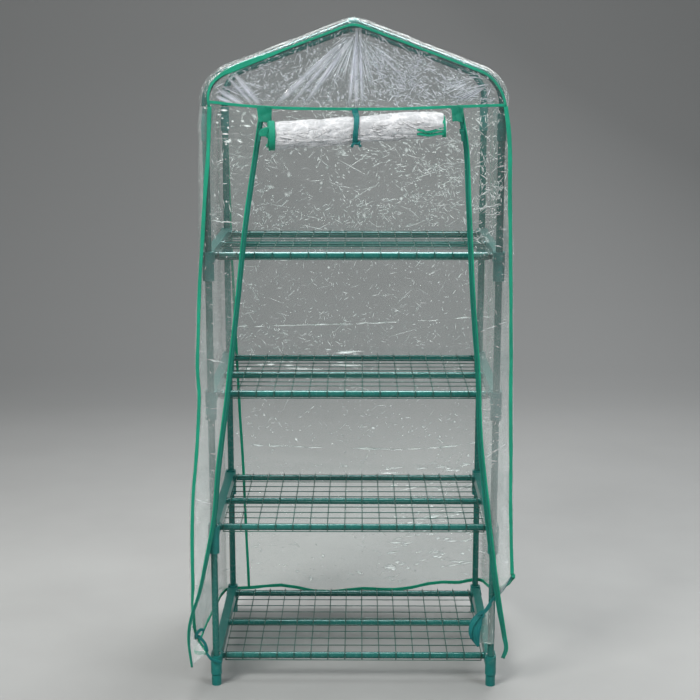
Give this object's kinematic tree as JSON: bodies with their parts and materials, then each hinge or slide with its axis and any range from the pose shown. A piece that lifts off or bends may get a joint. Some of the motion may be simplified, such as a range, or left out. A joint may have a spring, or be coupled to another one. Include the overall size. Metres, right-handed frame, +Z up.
{
  "type": "mini pop up greenhouse",
  "caption": "Tiered tube frame with wire mesh shelves that folds flat front to rear, under a clear gabled film cover with a zipped roll-up door.",
  "frame": {"origin": "on the ground, at the centre of the rectangle through the four post centres", "axes": "+Z up, +X to the right of someone facing the door, +Y from the door towards the rear"},
  "size_m": [0.7862, 0.5705, 1.5709],
  "materials": {
    "frame": "powder coated, satin, slightly rough",
    "bracket": "moulded, matte",
    "rivet": "bare zinc-plated steel",
    "film": "clear vinyl film, glossy, creased",
    "binding": "woven edge binding",
    "zip": "woven zip tape with moulded teeth",
    "slider": "painted die-cast"
  },
  "bodies": {
    "rear_frame": {"rear_left_post": "frame", "rear_right_post": "frame", "rear_left_brackets": "bracket", "rear_right_brackets": "bracket", "rear_left_foot": "bracket", "rear_right_foot": "bracket", "rear_couplers": "bracket", "rear_roof_bow": "frame", "rear_ridge_bracket": "bracket"},
    "shelf_1": {"shelf_1_front_rail": "frame", "shelf_1_middle_rail": "frame", "shelf_1_rear_rail": "frame", "shelf_1_side_channels": "frame", "shelf_1_mesh": "frame", "shelf_1_rivets": "rivet"},
    "shelf_2": {"shelf_2_front_rail": "frame", "shelf_2_middle_rail": "frame", "shelf_2_rear_rail": "frame", "shelf_2_side_channels": "frame", "shelf_2_mesh": "frame", "shelf_2_rivets": "rivet"},
    "shelf_3": {"shelf_3_front_rail": "frame", "shelf_3_middle_rail": "frame", "shelf_3_rear_rail": "frame", "shelf_3_side_channels": "frame", "shelf_3_mesh": "frame", "shelf_3_rivets": "rivet"},
    "shelf_4": {"shelf_4_front_rail": "frame", "shelf_4_middle_rail": "frame", "shelf_4_rear_rail": "frame", "shelf_4_side_channels": "frame", "shelf_4_mesh": "frame", "shelf_4_rivets": "rivet"},
    "ridge": {"ridge_bar": "frame", "ridge_rivets": "rivet"},
    "front_frame": {"front_left_post": "frame", "front_right_post": "frame", "front_left_brackets": "bracket", "front_right_brackets": "bracket", "front_left_foot": "bracket", "front_right_foot": "bracket", "front_couplers": "bracket", "front_roof_bow": "frame", "front_ridge_bracket": "bracket", "front_gable_binding": "binding", "front_eave_binding": "binding", "front_corner_bindings": "binding", "cover_film": "film", "left_zip_tape": "zip", "right_zip_tape": "zip", "rolled_door": "film", "door_tie": "zip", "zip_patches": "binding", "hem_ties": "zip", "rear_gable_binding": "binding", "rear_corner_bindings": "binding"},
    "left_slider": {"left_zip_slider": "slider"},
    "left_tab": {"left_pull_tab": "slider"},
    "right_slider": {"right_zip_slider": "slider"},
    "right_tab": {"right_pull_tab": "slider"}
  },
  "joints": [
    {"name": "fold", "type": "hinge", "parent": "rear_frame", "child": "shelf_1", "pos_m": [0, 0.203, 0.062], "axis": [-1, 0, 0], "range_deg": [0, 84], "deforming": ["cover_film", "rear_gable_binding", "rear_corner_bindings"]},
    {"name": "shelf_2_fold", "type": "hinge", "parent": "rear_frame", "child": "shelf_2", "pos_m": [0, 0.203, 0.3875], "axis": [-1, 0, 0], "range_deg": [0, 84]},
    {"name": "shelf_3_fold", "type": "hinge", "parent": "rear_frame", "child": "shelf_3", "pos_m": [0, 0.203, 0.713], "axis": [-1, 0, 0], "range_deg": [0, 84]},
    {"name": "shelf_4_fold", "type": "hinge", "parent": "rear_frame", "child": "shelf_4", "pos_m": [0, 0.203, 1.0385], "axis": [-1, 0, 0], "range_deg": [0, 84]},
    {"name": "ridge_fold", "type": "hinge", "parent": "rear_frame", "child": "ridge", "pos_m": [0, 0.203, 1.55527], "axis": [-1, 0, 0], "range_deg": [0, 84]},
    {"name": "front_frame_pivot", "type": "hinge", "parent": "shelf_1", "child": "front_frame", "pos_m": [0, -0.203, 0.062], "axis": [1, 0, 0], "range_deg": [0, 84]},
    {"name": "left_zip", "type": "slide", "parent": "front_frame", "child": "left_slider", "axis": [-0.1311, 0, -0.9914], "range_m": [0, 0.85]},
    {"name": "left_tab_hinge", "type": "hinge", "parent": "left_slider", "child": "left_tab", "pos_m": [-0.20751, -0.2587, 1.32236], "axis": [-0.9914, 0, 0.1311], "range_deg": [0, 150]},
    {"name": "right_zip", "type": "slide", "parent": "front_frame", "child": "right_slider", "axis": [0.0813, 0, -0.9967], "range_m": [0, 0.84]},
    {"name": "right_tab_hinge", "type": "hinge", "parent": "right_slider", "child": "right_tab", "pos_m": [0.23941, -0.2587, 1.32214], "axis": [-0.9967, 0, -0.0813], "range_deg": [0, 150]}
  ],
  "couplings": [
    {"joint": "shelf_2_fold", "follows": "fold", "ratio": 1},
    {"joint": "shelf_3_fold", "follows": "fold", "ratio": 1},
    {"joint": "shelf_4_fold", "follows": "fold", "ratio": 1},
    {"joint": "ridge_fold", "follows": "fold", "ratio": 1},
    {"joint": "front_frame_pivot", "follows": "fold", "ratio": 1}
  ]
}
